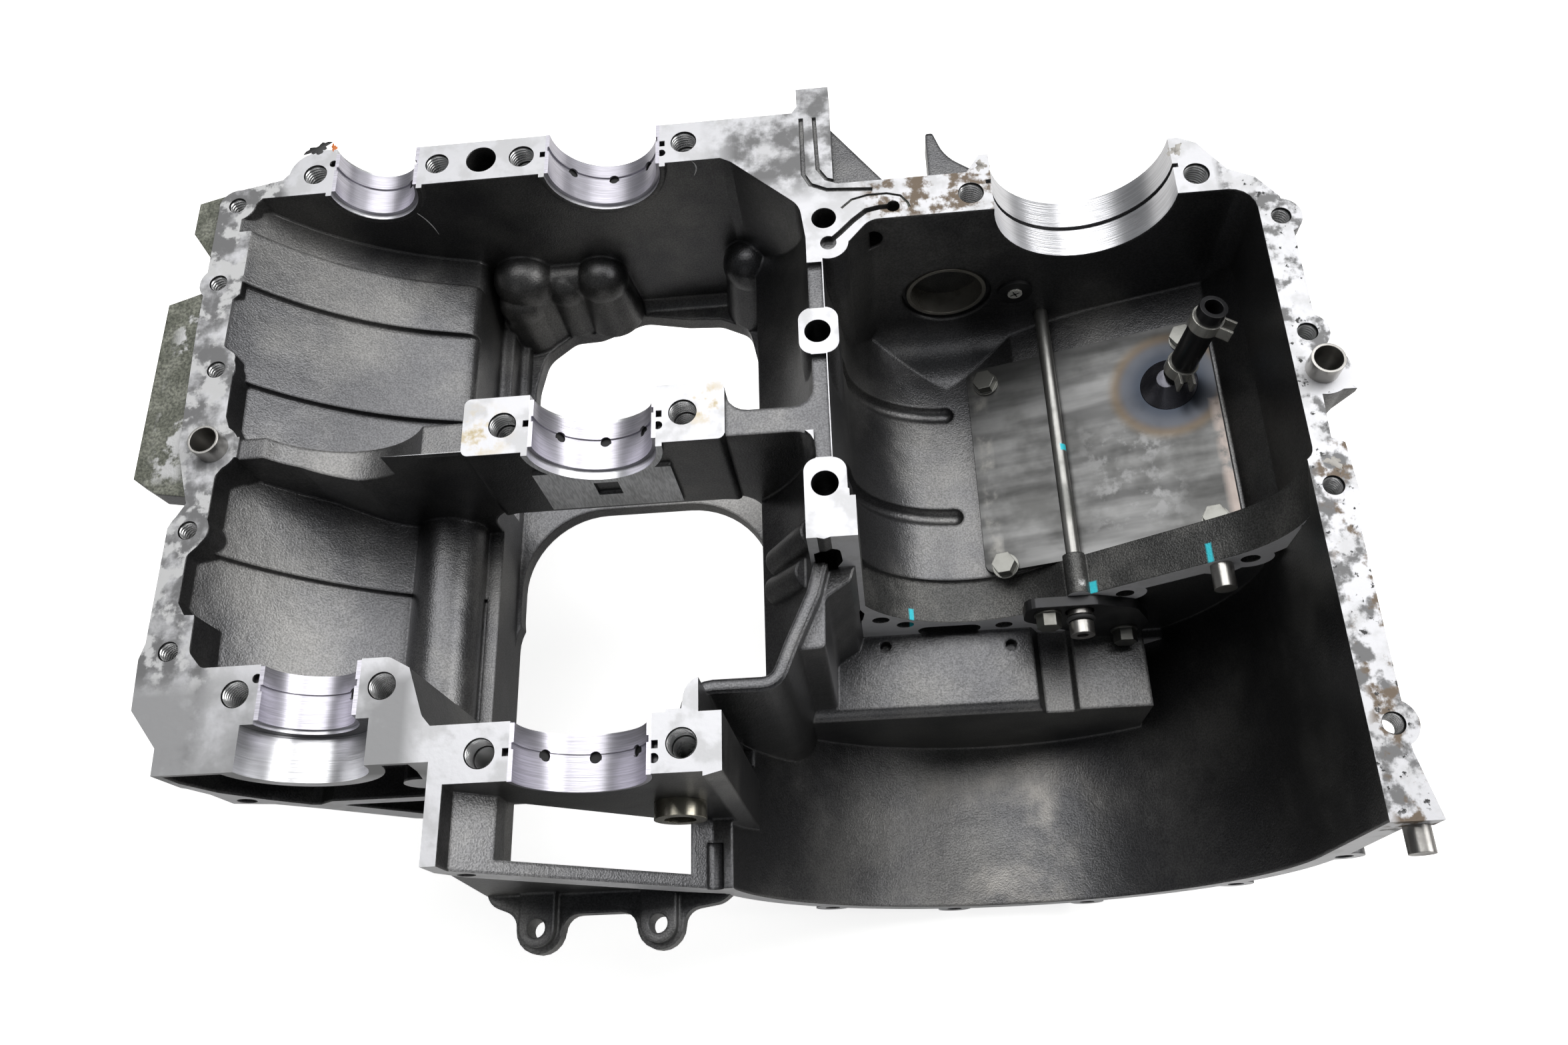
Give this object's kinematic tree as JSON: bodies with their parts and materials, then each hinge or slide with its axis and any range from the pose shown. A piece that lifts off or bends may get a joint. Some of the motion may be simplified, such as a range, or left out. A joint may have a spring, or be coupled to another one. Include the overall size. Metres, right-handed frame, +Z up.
{
  "type": "engine crankcase",
  "caption": "Cast crankcase half with split plain bearings for crankshaft and balancer, open cylinder deck, gearbox chamber and clutch housing.",
  "frame": {"origin": "crankshaft axis at the middle main bearing, on the mating face", "axes": "+Y along the crankshaft, away from the clutch housing; +X across the shafts towards the gearbox; +Z up out of the mating face, away from the cylinder deck"},
  "size_m": [0.4225, 0.3077, 0.1841],
  "materials": {
    "cast_aluminium": "as-cast skin, joint faces and bearing seats machined bright",
    "bearing_shell": "smooth bearing overlay with fine running marks",
    "dowel_steel": "turned steel, lightly oiled",
    "plate_steel": "rolled sheet with heat tint round the weld",
    "gasket_black": "matt",
    "zinc_bolt": "zinc plated",
    "weld_steel": "blued steel, oily",
    "hose_rubber": "smooth, oily",
    "clip_spring_steel": "dull plated spring steel",
    "ground_steel": "ground",
    "black_steel": "black oxide",
    "oil_ring_metal": "turned, oily"
  },
  "bodies": {
    "root": {"case_casting": "cast_aluminium", "main_shell_rear": "bearing_shell", "main_shell_middle": "bearing_shell", "main_shell_front": "bearing_shell", "balancer_shell_rear": "bearing_shell", "balancer_shell_front": "bearing_shell", "dowel_sleeve_left": "dowel_steel", "dowel_sleeve_right": "dowel_steel", "breather_gasket": "gasket_black", "breather_plate": "plate_steel", "breather_bolts": "zinc_bolt", "breather_stub": "weld_steel", "breather_hose": "hose_rubber", "hose_clip_lower": "clip_spring_steel", "hose_clip_upper": "clip_spring_steel", "oil_tube": "dowel_steel", "input_bearing_ring": "ground_steel", "retainer_cup": "black_steel", "retainer_screw": "dowel_steel", "oil_nozzle": "dowel_steel", "nozzle_o_ring": "gasket_black", "guide_bracket": "black_steel", "bracket_bolts": "zinc_bolt", "bulkhead_dowel": "dowel_steel", "clutch_cover_dowel": "dowel_steel", "oil_passage_ring": "oil_ring_metal"}
  },
  "joints": []
}
